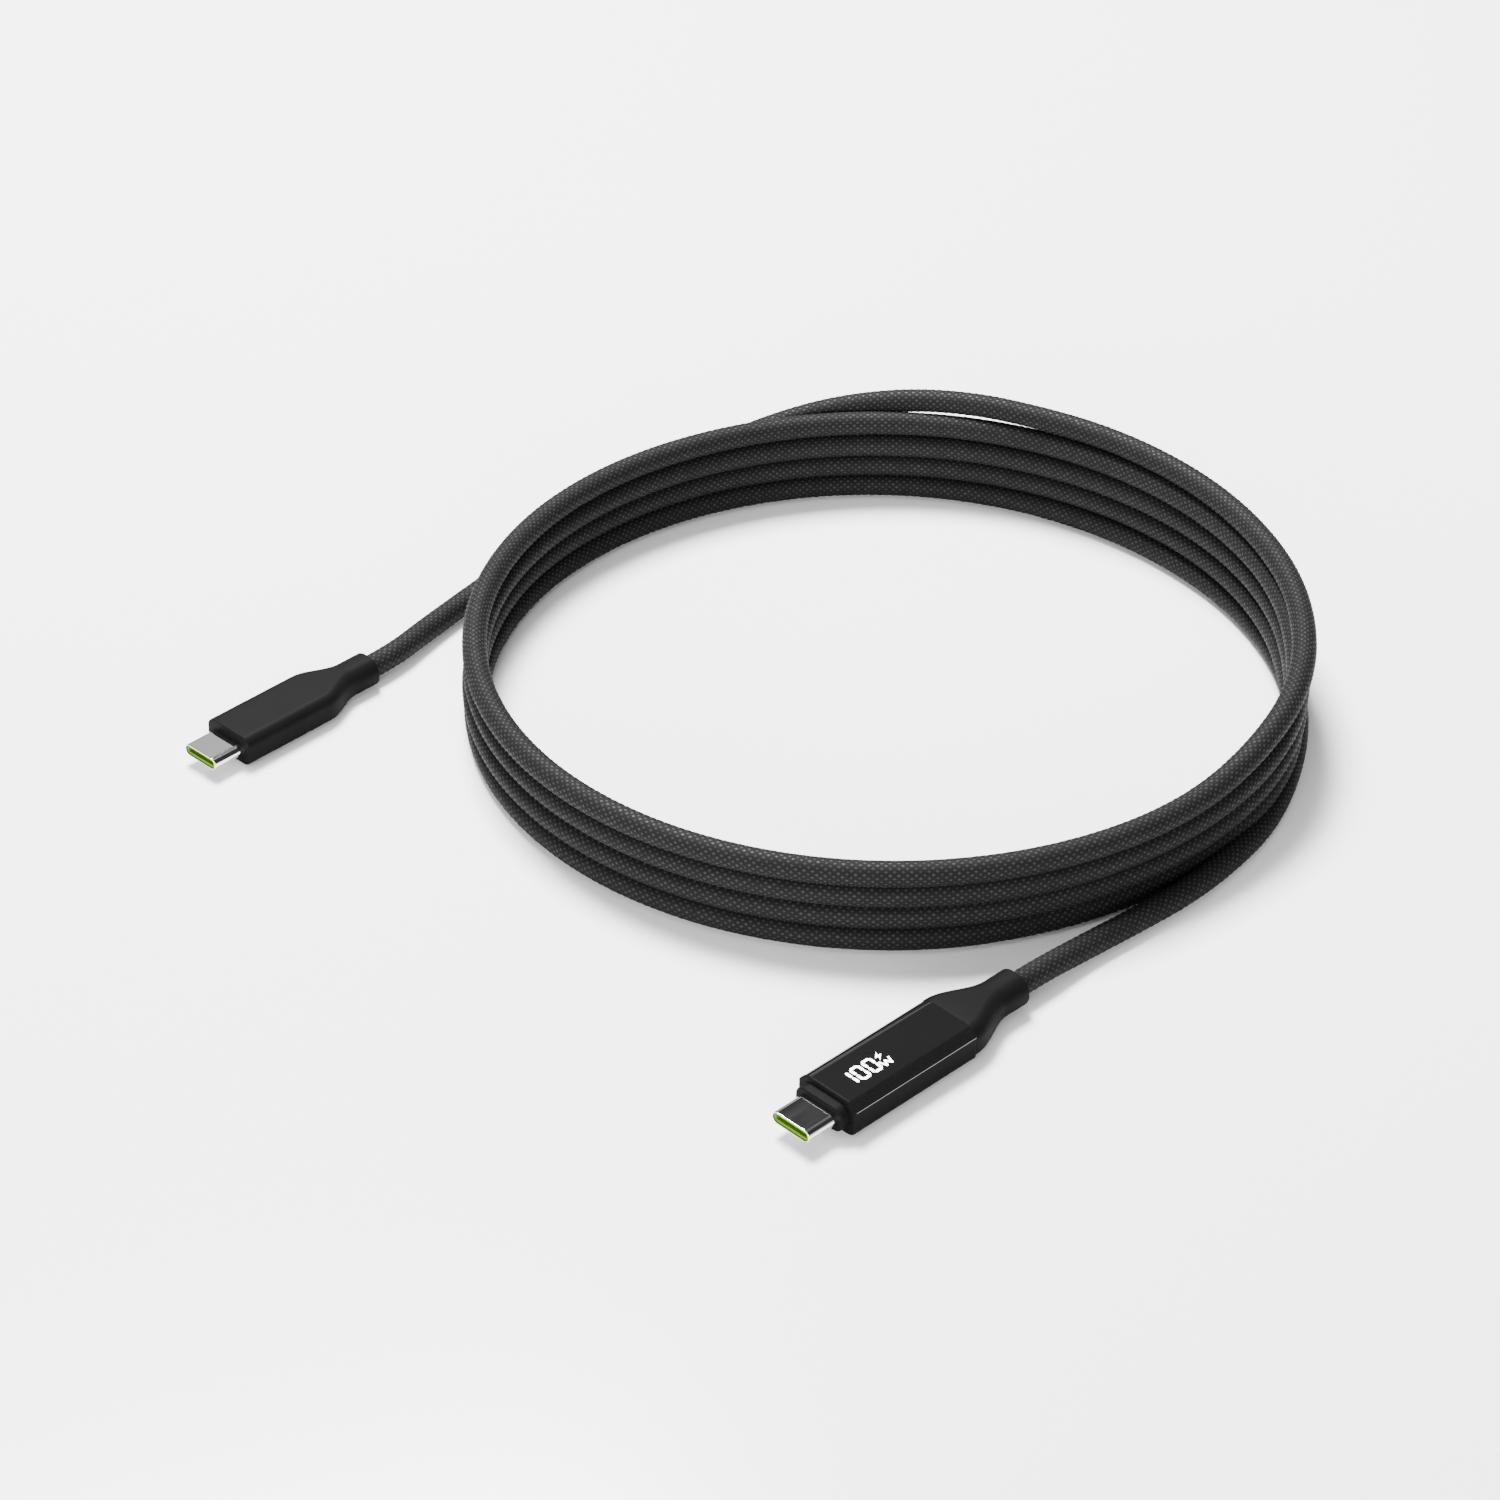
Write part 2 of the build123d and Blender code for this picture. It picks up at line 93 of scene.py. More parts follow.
# Each plug: the middle of its mouth, its turn in degrees, its axis' height and its whole length.
PLAIN_TIP = (-72.2, -27.8)
PLAIN_TURN = 1.8
PLAIN_AXIS = 2.9
PLAIN_END = 39.3
METER_TIP = (72.1, -24.6)
METER_AXIS = 3.28
METER_END = 51.2
# How far the cord runs straight out of each boot.
METER_STRAIGHT = 6.0
PLAIN_STRAIGHT = 6.2


def ring_point(angle, stand_out, height):
    """A point at an angle round the ring, standing out from it by so much, at a height."""
    radius = RING_RADIUS + stand_out
    turn = math.radians(angle)
    return (RING_CENTRE[0] + radius * math.cos(turn), RING_CENTRE[1] + radius * math.sin(turn), height)


def on_axis(tip, height, turn, distance):
    """A point on a plug's axis, measured from its mouth."""
    angle = math.radians(turn)
    return (tip[0] - distance * math.sin(angle), tip[1] + distance * math.cos(angle), height)


def bell(angle, middle, spread):
    """1 at the middle angle, and fading away on both sides of it."""
    return math.exp(-(((angle - middle) / spread) ** 2))


def rise(angle, start, end):
    """From 0 to 1 between two angles, with no corner at either."""
    share = min(max((angle - start) / (end - start), 0.0), 1.0)
    return share * share * (3 - 2 * share)


METER_LEAD = [
    on_axis(METER_TIP, METER_AXIS, 0, METER_END),
    on_axis(METER_TIP, METER_AXIS, 0, METER_END + METER_STRAIGHT),
    (72.0, 42.6, 2.3),
    (72.9, 54.0, 2.2),
    (73.7, 66.0, 2.2),
    (73.0, 77.1, 2.2),
]
PLAIN_LEAD = [
    ring_point(114, 2.65, 19.6),
    ring_point(122, 3.65, 19.35),
    ring_point(131, 4.3, 18.65),
    ring_point(141, 5.2, 16.5),
    ring_point(151, 5.5, 13.3),
    ring_point(161, 5.5, 9.5),
    ring_point(171, 5.5, 5.7),
    ring_point(180, 5.5, 3.0),
    (-82.0, 63.0, 2.2),
    (-81.5, 53.4, 2.2),
    (-79.9, 44.3, 2.2),
    (-78.1, 35.3, 2.25),
    (-76.1, 26.6, 2.5),
    on_axis(PLAIN_TIP, PLAIN_AXIS, PLAIN_TURN, PLAIN_END + PLAIN_STRAIGHT),
    on_axis(PLAIN_TIP, PLAIN_AXIS, PLAIN_TURN, PLAIN_END),
]

# How far the first and the loose last turn stand out from the ring, as (angle, stand-out) pairs.
FIRST_TURN = (
    (-16, 7.4), (-8, 6.1), (-2, 5.2), (4, 4.7), (10, 4.1), (16, 3.4), (23, 2.5), (32, 1.8),
    (44, 1.5), (56, 0.7), (70, -0.1), (85, -0.8), (100, -0.8), (115, -0.4), (135, 0.0),
)
LAST_TURN = (
    (-40, 0.0), (-15, 0.4), (0, 0.8), (10, 1.4), (20, 2.2), (27, 2.5), (38, 1.7), (50, 1.4),
    (66, 1.0), (80, 1.2), (93, 1.6), (103, 2.05),
)
# Where the stacked turns lean out, as (furthest, middle angle, spread). Every one leans out where it
# climbs over the start of the first, and the highest one also under the loose turn and on the left.
CLIMB_LEANS = ((2.3, 19, 15), (0.4, 50, 25))
HIGHEST_LEANS = ((1.0, 122, 36), (0.5, 182, 30))
# How far each stacked turn lies off the ring's centre, and the angles that it lies towards.
TURN_SLACK = (0.35, -0.25, 0.2)
SLACK_START = 60
SLACK_ADVANCE = 110


def lean(leans, angle):
    """How far a turn leans out at an angle."""
    return sum(furthest * bell(angle, middle, spread) for furthest, middle, spread in leans)


def between(pairs, angle):
    """The stand-out at an angle, in a straight line between two of the pairs."""
    angles, stands = zip(*pairs)
    return float(np.interp(angle, angles, stands))


def turn_point(turn, angle):
    """A point on one turn of the coil. Turn 0 lies on the surface, turn 4 is the loose one on top."""
    if turn == 0:
        return ring_point(angle, between(FIRST_TURN, angle), CORD_RADIUS)
    height = CORD_RADIUS + TURN_PITCH * (turn - 1 + rise(angle, CLIMB_START, CLIMB_END))
    if turn == FULL_TURNS:
        return ring_point(angle, between(LAST_TURN, angle), height)
    slack_angle = math.radians(angle - SLACK_START - SLACK_ADVANCE * turn)
    stand_out = lean(CLIMB_LEANS, angle) + TURN_SLACK[turn - 1] * math.cos(slack_angle)
    if turn == FULL_TURNS - 1:
        stand_out += lean(HIGHEST_LEANS, angle)
    return ring_point(angle, stand_out, height)


def coil_points():
    """The turns, one after the other. Control points stand outside the line that they draw."""
    points = []
    spread = 1 / math.cos(math.radians(TURN_STEP / 2))
    for total in range(COIL_START, 360 * FULL_TURNS + COIL_END + 1, TURN_STEP):
        turn = (total - TURN_BREAK) // 360
        x, y, z = turn_point(turn, total - 360 * turn)
        wide_x = RING_CENTRE[0] + (x - RING_CENTRE[0]) * spread
        wide_y = RING_CENTRE[1] + (y - RING_CENTRE[1]) * spread
        points.append((wide_x, wide_y, z))
    return points


# How many points the drawn spline has for each control point.
SPLINE_FINENESS = 12


def route_curve():
    """The cord's centre line as one open NURBS spline."""
    points = METER_LEAD + coil_points() + PLAIN_LEAD
    curve = bpy.data.curves.new("cord_route", "CURVE")
    curve.dimensions = "3D"
    curve.resolution_u = SPLINE_FINENESS
    spline = curve.splines.new("NURBS")
    spline.points.add(len(points) - 1)
    for place, point in zip(spline.points, points):
        place.co = (point[0] * MM, point[1] * MM, point[2] * MM, 1.0)
    spline.order_u = 3
    spline.use_endpoint_u = True
    return curve


def even_points(step):
    """Points along the route at one spacing, and the route's length, in metres."""
    curve = route_curve()
    guide = bpy.data.objects.new("cord_route", curve)
    line = bpy.data.meshes.new_from_object(guide)
    dense = np.array([vertex.co[:] for vertex in line.vertices])
    bpy.data.objects.remove(guide)
    bpy.data.curves.remove(curve)
    bpy.data.meshes.remove(line)
    along = np.concatenate([[0.0], np.cumsum(np.linalg.norm(np.diff(dense, axis=0), axis=1))])
    count = int(round(along[-1] / step))
    wanted = np.linspace(0.0, along[-1], count + 1)
    return np.column_stack([np.interp(wanted, along, dense[:, axis]) for axis in range(3)]), along[-1]


def carried_frames(points):
    """Two directions across the line at each point, carried along it without twist."""
    tangents = np.gradient(points, axis=0)
    tangents /= np.linalg.norm(tangents, axis=1)[:, None]
    side = np.cross(tangents[0], (0.0, 0.0, 1.0))
    sides = []
    for tangent in tangents:
        side = side - tangent * np.dot(side, tangent)
        side = side / np.linalg.norm(side)
        sides.append(side)
    sides = np.array(sides)
    return sides, np.cross(tangents, sides)


# ---------------------------------------------------------------- node materials
def new_material(name):
    material = bpy.data.materials.new(name)
    material.use_nodes = True
    nodes = material.node_tree.nodes
    return material, nodes, material.node_tree.links, nodes["Principled BSDF"]


def mixed_colour(nodes, links, factor, dark, light):
    """A colour between two, by a value socket."""
    mix = nodes.new("ShaderNodeMix")
    mix.data_type = "RGBA"
    mix.inputs["A"].default_value = (*dark, 1.0)
    mix.inputs["B"].default_value = (*light, 1.0)
    links.new(factor, mix.inputs["Factor"])
    return mix.outputs["Result"]


def noise(nodes, links, scale, detail=2.0, stretch=(1.0, 1.0, 1.0)):
    """Noise in the row's own space, so that it stays put."""
    place = nodes.new("ShaderNodeTexCoord")
    mapping = nodes.new("ShaderNodeMapping")
    mapping.inputs["Scale"].default_value = stretch
    texture = nodes.new("ShaderNodeTexNoise")
    texture.inputs["Scale"].default_value = scale
    texture.inputs["Detail"].default_value = detail
    links.new(place.outputs["Object"], mapping.inputs["Vector"])
    links.new(mapping.outputs["Vector"], texture.inputs["Vector"])
    return texture.outputs["Fac"]


def ranged(nodes, links, value, low, high):
    """A value socket spread over a range."""
    spread = nodes.new("ShaderNodeMapRange")
    spread.inputs["From Min"].default_value = 0.25
    spread.inputs["From Max"].default_value = 0.75
    spread.inputs["To Min"].default_value = low
    spread.inputs["To Max"].default_value = high
    links.new(value, spread.inputs["Value"])
    return spread.outputs["Result"]


def add_bump(nodes, links, shader, height, strength, distance):
    bump = nodes.new("ShaderNodeBump")
    bump.inputs["Strength"].default_value = strength
    bump.inputs["Distance"].default_value = distance
    links.new(height, bump.inputs["Height"])
    links.new(bump.outputs["Normal"], shader.inputs["Normal"])


def moulded(name, dark, light, roughness, specular=0.5):
    """Matte moulded plastic: a fine spark-eroded grain and a faint change of tone."""
    material, nodes, links, shader = new_material(name)
    tone = noise(nodes, links, scale=160.0, detail=3.0)
    fine = noise(nodes, links, scale=9000.0)
    links.new(mixed_colour(nodes, links, tone, dark, light), shader.inputs["Base Color"])
    rough = ranged(nodes, links, fine, roughness - 0.05, roughness + 0.06)
    links.new(rough, shader.inputs["Roughness"])
    shader.inputs["Specular IOR Level"].default_value = specular
    add_bump(nodes, links, shader, fine, strength=0.25, distance=0.00003)
    return material


ALONG_PLUG = (1.0, 0.08, 1.0)


def plated(name, dark, light, roughness, uneven=0.05):
    """Rolled or plated metal with fine drawing marks along the plug."""
    material, nodes, links, shader = new_material(name)
    marks = noise(nodes, links, scale=900.0, detail=4.0, stretch=ALONG_PLUG)
    shader.inputs["Metallic"].default_value = 1.0
    links.new(mixed_colour(nodes, links, marks, dark, light), shader.inputs["Base Color"])
    rough = ranged(nodes, links, marks, roughness - uneven, roughness + uneven)
    links.new(rough, shader.inputs["Roughness"])
    add_bump(nodes, links, shader, marks, strength=0.08, distance=0.00002)
    return material


def glossy(name, dark, light, roughness):
    """Polished dark plastic under a clear coat, with a very slight ripple."""
    material, nodes, links, shader = new_material(name)
    ripple = noise(nodes, links, scale=60.0, detail=1.0)
    links.new(mixed_colour(nodes, links, ripple, dark, light), shader.inputs["Base Color"])
    links.new(ranged(nodes, links, ripple, roughness, roughness + 0.03), shader.inputs["Roughness"])
    shader.inputs["Coat Weight"].default_value = 0.3
    shader.inputs["Coat Roughness"].default_value = 0.03
    add_bump(nodes, links, shader, ripple, strength=0.03, distance=0.0001)
    return material


def lit(name, colour, strength):
    """Light from diodes behind a diffuser, a little uneven."""
    material, nodes, links, shader = new_material(name)
    glow = noise(nodes, links, scale=700.0, detail=1.0)
    tone = mixed_colour(nodes, links, glow, [part * 0.9 for part in colour], colour)
    links.new(tone, shader.inputs["Base Color"])
    links.new(tone, shader.inputs["Emission Color"])
    links.new(ranged(nodes, links, glow, strength * 0.9, strength), shader.inputs["Emission Strength"])
    shader.inputs["Roughness"].default_value = 0.4
    return material


# The darkest and the lightest colour of the ground yarn, and of the raised crossings, whose paler
# colour is a painted highlight for the glints that they catch.
GROUND_YARN = ((0.0047, 0.0047, 0.0049), (0.0073, 0.0073, 0.0075))
CROSSING_PAINTED_HIGHLIGHT = ((0.0165, 0.0165, 0.017), (0.0255, 0.0255, 0.0265))


def braid_material():
    """Two-tone braid: the raised crossings are shinier, and their paler colour is a painted highlight.
    """
    material, nodes, links, shader = new_material("cord_braid")
    yarn = nodes.new("ShaderNodeAttribute")
    yarn.attribute_name = "raised"
    stitch = nodes.new("ShaderNodeMapRange")
    stitch.interpolation_type = "SMOOTHSTEP"
    stitch.inputs["From Min"].default_value = 0.28
    stitch.inputs["From Max"].default_value = 0.72
    links.new(yarn.outputs["Fac"], stitch.inputs["Value"])
    fibre = noise(nodes, links, scale=7000.0, detail=3.0)
    drift = noise(nodes, links, scale=35.0)
    dark = mixed_colour(nodes, links, fibre, *GROUND_YARN)
    # The raised crossings' colour, paler than the ground yarn: a painted highlight.
    light = mixed_colour(nodes, links, fibre, *CROSSING_PAINTED_HIGHLIGHT)
    mix = nodes.new("ShaderNodeMix")
    mix.data_type = "RGBA"
    links.new(stitch.outputs["Result"], mix.inputs["Factor"])
    links.new(dark, mix.inputs["A"])
    links.new(light, mix.inputs["B"])
    shade = nodes.new("ShaderNodeHueSaturation")
    links.new(ranged(nodes, links, drift, 0.9, 1.1), shade.inputs["Value"])
    links.new(mix.outputs["Result"], shade.inputs["Color"])
    links.new(shade.outputs["Color"], shader.inputs["Base Color"])
    gloss = nodes.new("ShaderNodeMapRange")
    gloss.inputs["To Min"].default_value = 0.7
    gloss.inputs["To Max"].default_value = 0.42
    links.new(stitch.outputs["Result"], gloss.inputs["Value"])
    links.new(gloss.outputs["Result"], shader.inputs["Roughness"])
    shader.inputs["Specular IOR Level"].default_value = 0.06
    add_bump(nodes, links, shader, fibre, strength=0.3, distance=0.00003)
    return material


def ceramic_material():
    """The fired body of a chip capacitor, finely speckled."""
    material, nodes, links, shader = new_material("ceramic")
    speck = noise(nodes, links, scale=5000.0, detail=3.0)
    tone = mixed_colour(nodes, links, speck, (0.42, 0.34, 0.24), (0.58, 0.48, 0.36))
    links.new(tone, shader.inputs["Base Color"])
    links.new(ranged(nodes, links, speck, 0.35, 0.5), shader.inputs["Roughness"])
    return material


def floor_material():
    """A pale, faintly polished sheet."""
    material, nodes, links, shader = new_material("studio_sheet")
    cloud = noise(nodes, links, scale=3.0)
    tone = mixed_colour(nodes, links, cloud, (0.90, 0.90, 0.90), (0.93, 0.93, 0.93))
    links.new(tone, shader.inputs["Base Color"])
    links.new(ranged(nodes, links, cloud, 0.16, 0.2), shader.inputs["Roughness"])
    shader.inputs["Specular IOR Level"].default_value = 0.35
    return material


def plug_materials():
    """The materials of the plugs, seen and inside, as (maker, slot, darkest, lightest, roughness)."""
    entries = (
        (moulded, "chip_black", (0.012, 0.012, 0.013), (0.02, 0.02, 0.021), 0.5),
        (moulded, "inner_polymer", (0.55, 0.54, 0.50), (0.63, 0.62, 0.57), 0.5),
        (moulded, "wire_red", (0.35, 0.02, 0.015), (0.45, 0.03, 0.02), 0.35),
        (moulded, "wire_white", (0.62, 0.62, 0.6), (0.72, 0.72, 0.7), 0.35),
        (moulded, "display_black", (0.006, 0.006, 0.006), (0.012, 0.012, 0.012), 0.6),
        (plated, "gold_contact", (0.72, 0.50, 0.16), (0.86, 0.62, 0.24), 0.22),
        (plated, "spring_steel", (0.42, 0.42, 0.43), (0.55, 0.55, 0.56), 0.3),
        (glossy, "circuit_card", (0.008, 0.05, 0.022), (0.014, 0.075, 0.032), 0.25),
        (glossy, "gloss_black", (0.0050, 0.0050, 0.0051), (0.0062, 0.0062, 0.0063), 0.05),
    )
    return {slot: maker(slot, dark, light, rough) for maker, slot, dark, light, rough in entries}


MATERIALS = plug_materials() | {
    "nickel_steel": plated(
        "nickel_steel", (0.66, 0.66, 0.67), (0.76, 0.76, 0.77), 0.065, uneven=0.015
    ),
    "green_insulator": moulded(
        "green_insulator", (0.052, 0.13, 0.001), (0.072, 0.168, 0.002), 0.5, specular=0.1
    ),
    "soft_grey": moulded(
        "soft_grey", (0.0038, 0.0038, 0.0039), (0.0050, 0.0050, 0.0051), 0.5, specular=0.02
    ),
    "lit_white": lit("lit_white", (1.0, 1.0, 1.0), strength=6.0),
    "ceramic": ceramic_material(),
    "cord_braid": braid_material(),
}


# ---------------------------------------------------------------- mesh building
def add_piece(name, vertices, faces, slot, sharp=35.0):
    """A smooth-shaded mesh object that rides on the part's one body."""
    mesh = bpy.data.meshes.new(name)
    mesh.from_pydata([tuple(v) for v in vertices], [], faces)
    mesh.validate()
    mesh.shade_smooth()
    mesh.set_sharp_from_angle(angle=math.radians(sharp))
    mesh.materials.append(MATERIALS[slot])
    piece = bpy.data.objects.new(name, mesh)
    bpy.context.collection.objects.link(piece)
    weigh = piece.modifiers.new("flat_faces_stay_flat", "WEIGHTED_NORMAL")
    weigh.keep_sharp = True
    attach(piece, "root")
    return piece


def plug_space(tip, axis_height, turn):
    """From a plug's own millimetres (mouth at y = 0, cable towards +Y) to the row's metres."""
    place = Matrix.Translation(Vector((tip[0], tip[1], axis_height)) * MM)
    return place @ Matrix.Rotation(math.radians(turn), 4, "Z") @ Matrix.Scale(MM, 4)


PLAIN_SPACE = plug_space(PLAIN_TIP, PLAIN_AXIS, PLAIN_TURN)
METER_SPACE = plug_space(METER_TIP, METER_AXIS, 0.0)
CORNER_STEPS = 8


def rounded_section(width, height, corner):
    """A rounded rectangle as x, z points, the same count whatever its size."""
    points = []
    for side_x, side_z, start in ((1, 1, 0), (-1, 1, 90), (-1, -1, 180), (1, -1, 270)):
        for step in range(CORNER_STEPS + 1):
            angle = math.radians(start + 90 * step / CORNER_STEPS)
            x = side_x * (width / 2 - corner) + corner * math.cos(angle)
            z = side_z * (height / 2 - corner) + corner * math.sin(angle)
            points.append((x, z))
    return points


def rounded_polygon(corners):
    """A polygon whose corners, each (x, z, radius), are turned into short arcs."""
    points = []
    count = len(corners)
    for index, (x, z, radius) in enumerate(corners):
        corner = Vector((x, z))
        before = Vector(corners[index - 1][:2]) - corner
        after = Vector(corners[(index + 1) % count][:2]) - corner
        half = before.angle(after) / 2
        reach = radius / math.tan(half)
        start = corner + before.normalized() * reach
        end = corner + after.normalized() * reach
        for step in range(CORNER_STEPS + 1):
            t = step / CORNER_STEPS
            point = start * (1 - t) ** 2 + corner * (2 * t * (1 - t)) + end * t**2
            points.append(tuple(point))
    return points


def shrunk(points, inset):
    """An outline drawn in towards its middle by about inset on every side."""
    low = np.min(points, axis=0)
    high = np.max(points, axis=0)
    middle = (low + high) / 2
    scale = (high - low - 2 * inset) / (high - low)
    return [tuple(middle + (np.array(point) - middle) * scale) for point in points]


def rounded_edge(y, outline, radius, inwards, steps=5):
    """Stations that turn an end face into the sides. inwards is +1 at the start, -1 at the end."""
    stations = []
    for step in range(steps + 1):
        angle = math.radians(90 * step / steps)
        inset = radius * (1 - math.sin(angle))
        depth = radius * (1 - math.cos(angle))
        stations.append((y + inwards * depth, shrunk(outline, inset)))
    return stations if inwards > 0 else stations[::-1]


def loft(space, stations, closed=False):
    """Vertices and faces through stations along y. Its ends are capped, or joined if closed."""
    count = len(stations[0][1])
    vertices = [space @ Vector((x, y, z)) for y, outline in stations for x, z in outline]
    faces = []
    rings = len(stations)
    for ring in range(rings if closed else rings - 1):
        a = ring * count
        b = (ring + 1) % rings * count
        for index in range(count):
            after = (index + 1) % count
            faces.append((a + index, a + after, b + after, b + index))
    if not closed:
        faces.append(tuple(range(count))[::-1])
        faces.append(tuple(range((rings - 1) * count, rings * count)))
    return vertices, faces


def joined(*meshes):
    """One list of vertices and one of faces out of several."""
    vertices = []
    faces = []
    for more_vertices, more_faces in meshes:
        offset = len(vertices)
        vertices += more_vertices
        faces += [tuple(index + offset for index in face) for face in more_faces]
    return vertices, faces


# ---------------------------------------------------------------- the cord
# The braid's crossings: their spacing along the cord and their count around it.
BRAID_STEP = 0.69
BRAID_AROUND = 24
# A raised crossing stands proud of the cord's radius, and the next one lies below it by the relief.
BRAID_PROUD = 0.05
BRAID_RELIEF = 0.10
# How much of the relief, and of the tone of the painted highlight on the raised crossings, differ from
# one crossing to the next.
RELIEF_CHANCE = 0.25
TONE_CHANCE = 0.3
BRAID_SEED = 4
PATH_STRIDE = 4


def braid_faces(rows):
    """Triangles whose slanting edges all join low points, so that every raised one is a stitch."""
    faces = []
    for row in range(rows - 1):
        for column in range(BRAID_AROUND):
            after = (column + 1) % BRAID_AROUND
            a = row * BRAID_AROUND + column
            b = row * BRAID_AROUND + after
            c = b + BRAID_AROUND
            d = a + BRAID_AROUND
            if (row + column) % 2 == 0:
                faces += [(a, b, d), (b, c, d)]
            else:
                faces += [(a, b, c), (a, c, d)]
    return faces


def make_cord():
    """A tube whose surface is a grid of crossings, every second one raised."""
    line, length = even_points(BRAID_STEP * MM)
    sides, ups = carried_frames(line)
    rows = len(line)
    chance = np.random.default_rng(BRAID_SEED)
    row = np.arange(rows)[:, None]
    column = np.arange(BRAID_AROUND)[None, :]
    raised = ((row + column) % 2 == 0).astype(float)
    uneven = 1 - RELIEF_CHANCE * chance.random((rows, BRAID_AROUND))
    radius = (CORD_RADIUS + BRAID_PROUD - BRAID_RELIEF * (1 - raised * uneven)) * MM
    angle = 2 * math.pi * column / BRAID_AROUND
    across = np.cos(angle)[..., None] * sides[:, None, :] + np.sin(angle)[..., None] * ups[:, None, :]
    vertices = (line[:, None, :] + radius[..., None] * across).reshape(-1, 3)
    faces = braid_faces(rows)
    faces.append(list(range(BRAID_AROUND))[::-1])
    faces.append(list(range((rows - 1) * BRAID_AROUND, rows * BRAID_AROUND)))
    cord = add_piece("braided_cord", vertices.tolist(), faces, "cord_braid", sharp=80.0)
    # Each raised crossing's share of the painted highlight, a little different from one crossing to the
    # next.
    painted_highlight_tones = raised * (1 - TONE_CHANCE + TONE_CHANCE * chance.random((rows, BRAID_AROUND)))
    cord.data.attributes.new("raised", "FLOAT", "POINT").data.foreach_set("value", painted_highlight_tones.ravel())
    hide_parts("coil", "meter_lead", "plain_lead")
    path = line[::PATH_STRIDE].tolist() + [line[-1].tolist()]
    return cord, path, length


# ---------------------------------------------------------------- plug pieces
# Sections are (width, height, corner radius), and places are measured back from a plug's mouth.
SHELL = (8.25, 2.40, 1.20)
SHELL_WALL = 0.20
SHELL_LENGTH = 9.0
PLAIN_FRONT = 6.5
PLAIN_SHOULDER = 25.6
PLAIN_BOOT = 34.0
PLAIN_WIDE = (11.3, 5.8, 1.9)
PLAIN_SLIM = (6.5, 5.8, 2.67)
PLAIN_EDGE = 0.2
CORD_HOLE = (CORD_DIAMETER, CORD_DIAMETER, CORD_RADIUS)
HOLE_DEPTH = 1.5
HOLE_FLARE = 0.25
HOLE_FLARE_DEPTH = 0.3
BOOT_LIP = 0.3
SHELL_RECESS = 1.0
SHOULDER_STATIONS = 12


def make_shell(name, space, replaced):
    """The drawn steel shell. Its rim is rolled round and its mouth opens out just behind the rim."""
    outer = rounded_section(*SHELL)
    width, height, corner = SHELL
    inner = rounded_section(width - 2 * SHELL_WALL, height - 2 * SHELL_WALL, corner - SHELL_WALL)
    rim = SHELL_WALL / 2
    stations = [(SHELL_LENGTH, outer)]
    stations += rounded_edge(0.0, outer, rim, 1)[::-1]
    stations += [(y, shrunk(inner, -y)) for y, _ in rounded_edge(0.0, inner, rim, 1)]
    stations.append((SHELL_LENGTH, inner))
    shell = add_piece(name, *loft(space, stations, closed=True), "nickel_steel")
    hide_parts(replaced)


def shoulder(wide, slim, start, end):
    """Stations of the S-shaped taper between two rounded sections."""
    stations = []
    for step in range(1, SHOULDER_STATIONS):
        share = step / SHOULDER_STATIONS
        ease = share * share * (3 - 2 * share)
        size = [a + (b - a) * ease for a, b in zip(wide, slim)]
        stations.append((start + (end - start) * share, rounded_section(*size)))
    return stations


def boot_stations(slim, start, end):
    """The straight strain relief, a rounded lip at its rear and the hole that the cord comes out of."""
    section = rounded_section(*slim)
    stations = [(start, section)]
    stations += rounded_edge(end, section, BOOT_LIP, -1)
    hole = rounded_section(*CORD_HOLE)
    stations.append((end, shrunk(hole, -HOLE_FLARE)))
    stations += [(end - HOLE_FLARE_DEPTH, hole), (end - HOLE_DEPTH, hole)]
    return stations


def front_stations(front, outline, hole, edge):
    """The front face, from a recess round what passes through it to its rounded edge."""
    opening = rounded_section(*hole)
    return [(front + SHELL_RECESS, opening), (front, opening)] + rounded_edge(front, outline, edge, 1)


def make_plain_body():
    """The plain plug's outer body with its strain relief."""
    wide = rounded_section(*PLAIN_WIDE)
    stations = front_stations(PLAIN_FRONT, wide, SHELL, PLAIN_EDGE)
    stations.append((PLAIN_SHOULDER, wide))
    stations += shoulder(PLAIN_WIDE, PLAIN_SLIM, PLAIN_SHOULDER, PLAIN_BOOT)
    stations += boot_stations(PLAIN_SLIM, PLAIN_BOOT, PLAIN_END)
    body = add_piece("plain_plug_body", *loft(PLAIN_SPACE, stations), "soft_grey")
    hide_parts("plain_body")


METER_FRONT = 7.9
METER_SEAM = 35.4
METER_SHOULDER = 36.2
METER_BOOT = 46.4
METER_WIDE = (12.6, 6.56, 2.45)
METER_SLIM = (6.7, 6.1, 2.81)
SEAM_EDGE = 0.12
COLLAR = (10.4, 4.6, 2.0)
COLLAR_FRONT = 6.1
COLLAR_EDGE = 0.35
COLLAR_LAP = 0.3
NOSE_EDGE = 0.3
WINDOW_FRONT = 8.3
WINDOW_EDGE = 0.06

# The meter plug's section: half its width and height, and half the width of its flat top.
SIDE = METER_WIDE[0] / 2
TOP = METER_WIDE[1] / 2
FLAT = 4.8
# The height where the case meets the window, and where each bevel meets the side.
SPLIT = 1.58
LEFT_BEVEL = 1.66
RIGHT_BEVEL = 1.75
LEFT_TOP_CORNER = 3.0
LOWER_CORNER = 1.9


def make_collar():
    """The step between the shell and the case."""
    section = rounded_section(*COLLAR)
    stations = front_stations(COLLAR_FRONT, section, SHELL, COLLAR_EDGE)
    stations.append((METER_FRONT + COLLAR_LAP, section))
    collar = add_piece("meter_plug_collar", *loft(METER_SPACE, stations), "soft_grey")
    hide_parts("meter_collar")


def window_outline():
    """The display window's section: a flat top and two bevels, as (x, z, corner radius)."""
    return rounded_polygon(
        [
            (-SIDE, SPLIT, 0.02),
            (-SIDE, LEFT_BEVEL, 0.03),
            (-FLAT, TOP, LEFT_TOP_CORNER),
            (FLAT, TOP, 0.1),
            (SIDE, RIGHT_BEVEL, 0.12),
            (SIDE, SPLIT, 0.02),
        ]
    )


